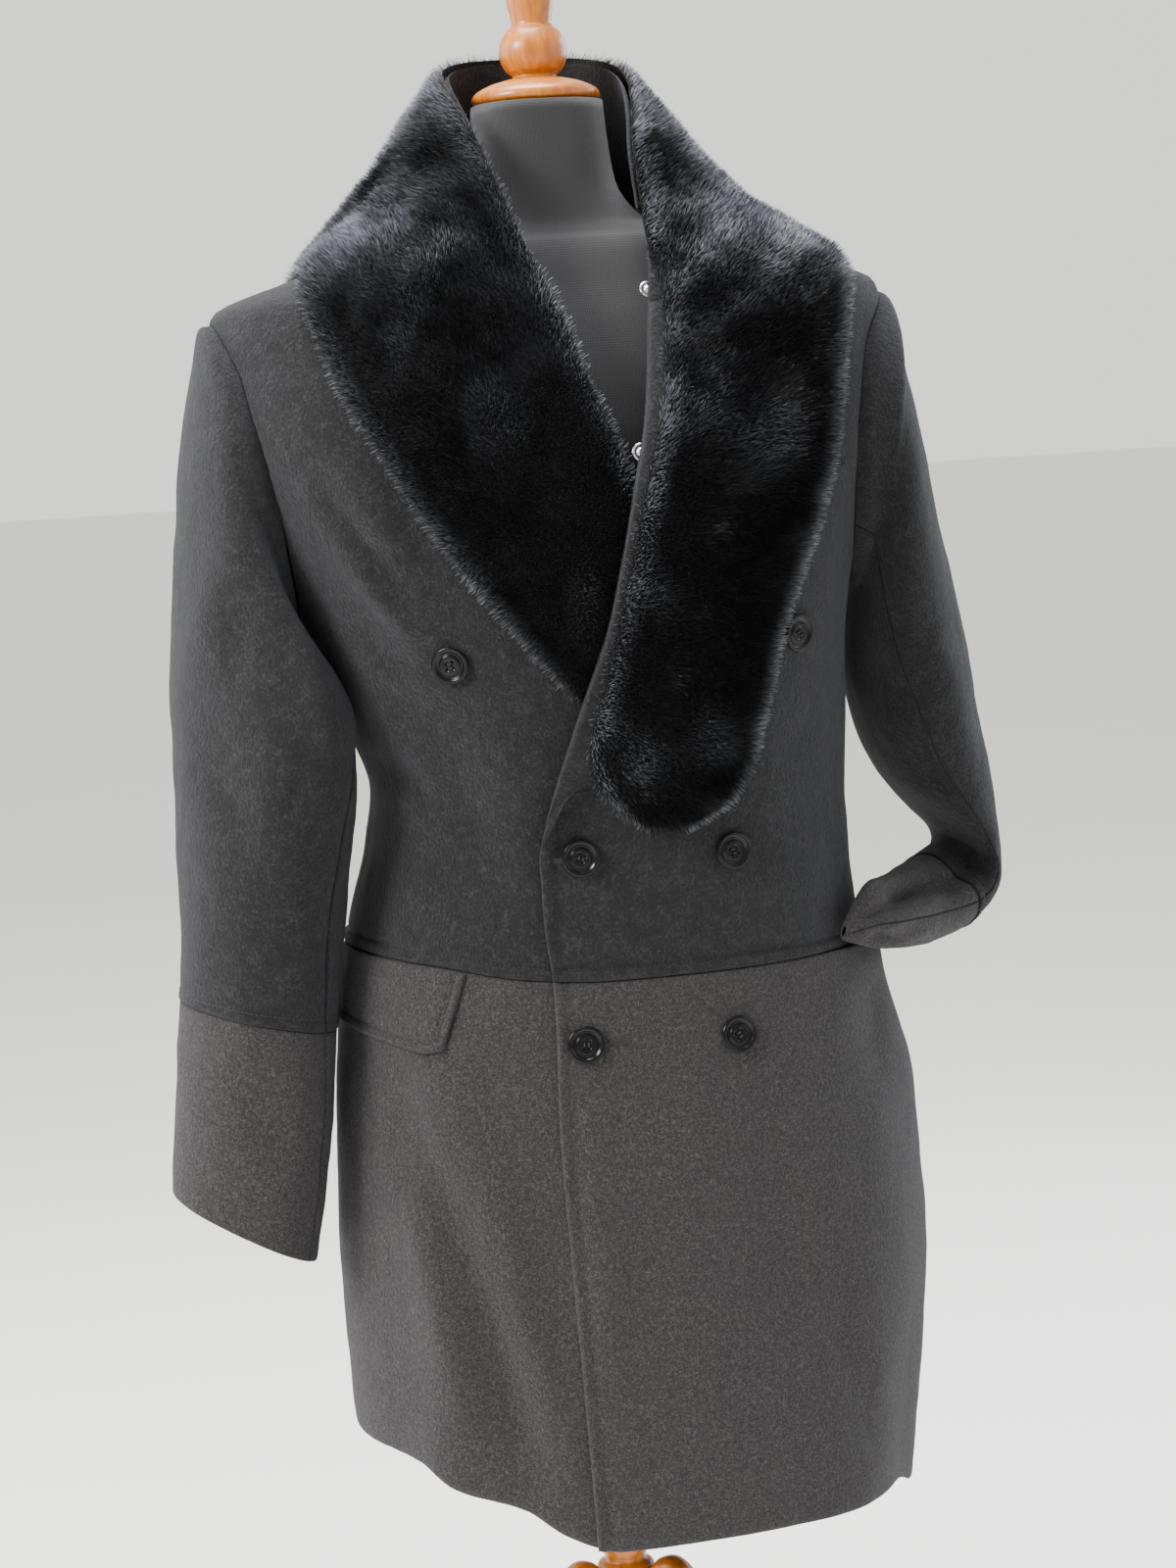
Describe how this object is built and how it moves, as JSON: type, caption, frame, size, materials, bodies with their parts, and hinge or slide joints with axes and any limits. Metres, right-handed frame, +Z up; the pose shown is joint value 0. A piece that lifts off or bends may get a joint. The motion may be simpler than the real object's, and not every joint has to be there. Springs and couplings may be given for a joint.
{
  "type": "double-breasted overcoat on a limbless dress form",
  "caption": "Knee-length double-breasted overcoat with a wide plush shawl collar and contrasting skirt and cuffs, one sleeve tucked into its pocket, worn on a wooden dress form.",
  "frame": {"origin": "on the floor under the middle of the part's bounding box", "axes": "+X towards the wearer's left, +Y towards the back of the coat, +Z up"},
  "size_m": [0.6536, 0.5044, 1.642],
  "materials": {
    "wool_black": "matt napped wool",
    "wool_grey": "matt melange wool",
    "plush": "short dense pile with a sheen",
    "button_plastic": "gloss",
    "snap_metal": "polished",
    "jersey": "matt knitted cover",
    "lacquered_wood": "gloss lacquer"
  },
  "bodies": {
    "root": {"front_left_upper": "wool_black", "front_right_upper": "wool_black", "back_upper": "wool_black", "front_left_lower": "wool_grey", "front_right_lower": "wool_grey", "back_lower": "wool_grey", "sleeve_right_top": "wool_black", "sleeve_right_under": "wool_black", "cuff_right_top": "wool_grey", "cuff_right_under": "wool_grey", "sleeve_left_top": "wool_black", "sleeve_left_under": "wool_black", "cuff_left_top": "wool_grey", "cuff_left_under": "wool_grey", "facing_left": "wool_black", "facing_right": "wool_black", "plush_collar_left": "plush", "plush_collar_right": "plush", "collar_stand": "wool_black", "pocket_flap": "wool_grey", "chest_welt": "wool_black", "button_right_chest": "button_plastic", "button_left_chest": "button_plastic", "button_upper_inner": "button_plastic", "button_upper_outer": "button_plastic", "button_lower_inner": "button_plastic", "button_lower_outer": "button_plastic", "snap_upper": "snap_metal", "snap_lower": "snap_metal", "form_torso": "jersey", "form_neck_cap": "lacquered_wood", "form_post": "lacquered_wood", "form_leg_1": "lacquered_wood", "form_leg_2": "lacquered_wood", "form_leg_3": "lacquered_wood"}
  },
  "joints": []
}
